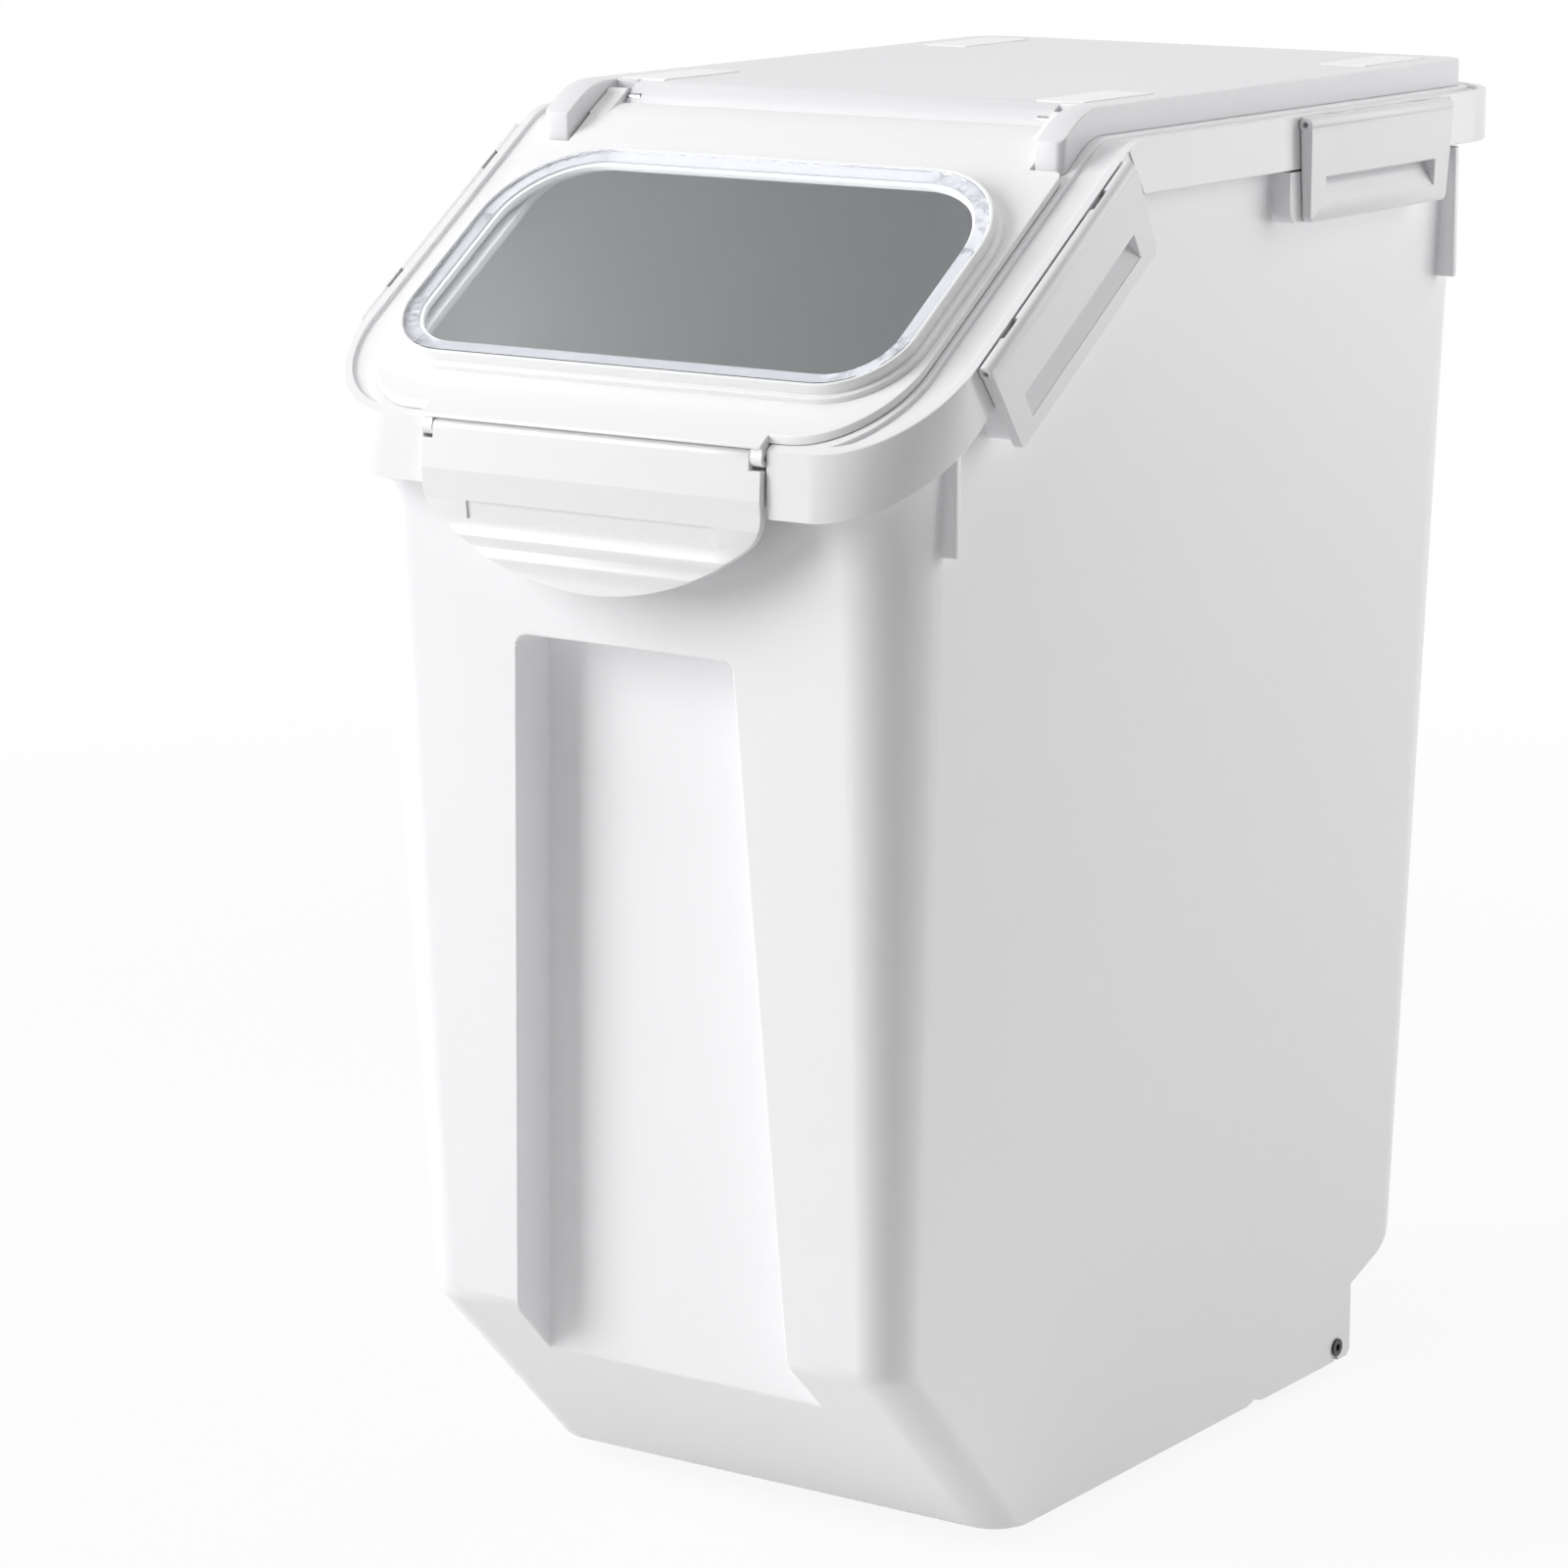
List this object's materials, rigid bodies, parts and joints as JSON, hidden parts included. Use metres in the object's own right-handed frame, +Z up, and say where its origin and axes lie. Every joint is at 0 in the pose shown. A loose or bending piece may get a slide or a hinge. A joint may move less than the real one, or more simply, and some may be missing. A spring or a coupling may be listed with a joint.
{
  "type": "rice bin with flip lid",
  "caption": "Tall wheeled food storage bin with a clamped lid frame, a sloping hinged flip lid with a window, a front latch and side latches.",
  "frame": {"origin": "on the floor under the middle of the bin's box", "axes": "+X to the right as seen from the front; +Y to the rear; +Z up"},
  "size_m": [0.2354, 0.3864, 0.4564],
  "materials": {
    "tub_plastic": "satin moulded, slightly translucent white",
    "frame_plastic": "satin moulded white",
    "cover_plastic": "fine satin, cool white",
    "lid_plastic": "satin moulded white",
    "latch_plastic": "smooth white",
    "pane_plastic": "clear, glossy",
    "seal_rubber": "soft, milky white",
    "pin_steel": "drawn wire",
    "axle_plastic": "smooth black",
    "hub_plastic": "moulded dark grey",
    "tyre_rubber": "dull black",
    "foot_rubber": "soft white"
  },
  "bodies": {
    "bin": {"tub": "tub_plastic", "foot_left": "foot_rubber", "foot_right": "foot_rubber", "axle_left": "axle_plastic", "axle_right": "axle_plastic", "rim_gasket": "seal_rubber", "lid_frame": "frame_plastic", "mouth_gasket": "seal_rubber", "top_cover": "cover_plastic", "stacking_pads": "frame_plastic", "hinge_pin_left": "pin_steel", "hinge_pin_right": "pin_steel", "latch_pin_slant_left": "pin_steel", "latch_pin_slant_right": "pin_steel", "latch_pin_flat_left": "pin_steel", "latch_pin_flat_right": "pin_steel"},
    "lid": {"flip_lid": "lid_plastic", "window_pane": "pane_plastic", "window_seal": "seal_rubber", "front_latch_pin": "pin_steel"},
    "front_catch": {"front_latch": "lid_plastic"},
    "side_latch_slant_left": {"latch_slant_left": "latch_plastic"},
    "side_latch_slant_right": {"latch_slant_right": "latch_plastic"},
    "side_latch_flat_left": {"latch_flat_left": "latch_plastic"},
    "side_latch_flat_right": {"latch_flat_right": "latch_plastic"},
    "wheel_left": {"wheel_hub_left": "hub_plastic", "tyre_left": "tyre_rubber"},
    "wheel_right": {"wheel_hub_right": "hub_plastic", "tyre_right": "tyre_rubber"}
  },
  "joints": [
    {"name": "lid_hinge", "type": "hinge", "parent": "bin", "child": "lid", "pos_m": [0, -0.05996, 0.4506], "axis": [-1, 0, 0], "range_deg": [0, 130]},
    {"name": "front_catch_hinge", "type": "hinge", "parent": "lid", "child": "front_catch", "pos_m": [0, -0.19, 0.3605], "axis": [-1, 0, 0], "range_deg": [0, 90]},
    {"name": "slant_left_hinge", "type": "hinge", "parent": "bin", "child": "side_latch_slant_left", "pos_m": [-0.1152, -0.11278, 0.41225], "axis": [0, 0.829, 0.5592], "range_deg": [0, 100]},
    {"name": "slant_right_hinge", "type": "hinge", "parent": "bin", "child": "side_latch_slant_right", "pos_m": [0.1152, -0.11278, 0.41225], "axis": [0, -0.829, -0.5592], "range_deg": [0, 100]},
    {"name": "flat_left_hinge", "type": "hinge", "parent": "bin", "child": "side_latch_flat_left", "pos_m": [-0.1152, 0.08474, 0.4442], "axis": [0, 1, 0], "range_deg": [0, 100]},
    {"name": "flat_right_hinge", "type": "hinge", "parent": "bin", "child": "side_latch_flat_right", "pos_m": [0.1152, 0.08474, 0.4442], "axis": [0, -1, 0], "range_deg": [0, 100]},
    {"name": "wheel_left_spin", "type": "hinge", "parent": "bin", "child": "wheel_left", "pos_m": [-0.0708, 0.12608, 0.01], "axis": [1, 0, 0], "continuous": true},
    {"name": "wheel_right_spin", "type": "hinge", "parent": "bin", "child": "wheel_right", "pos_m": [0.0708, 0.12608, 0.01], "axis": [1, 0, 0], "continuous": true}
  ]
}
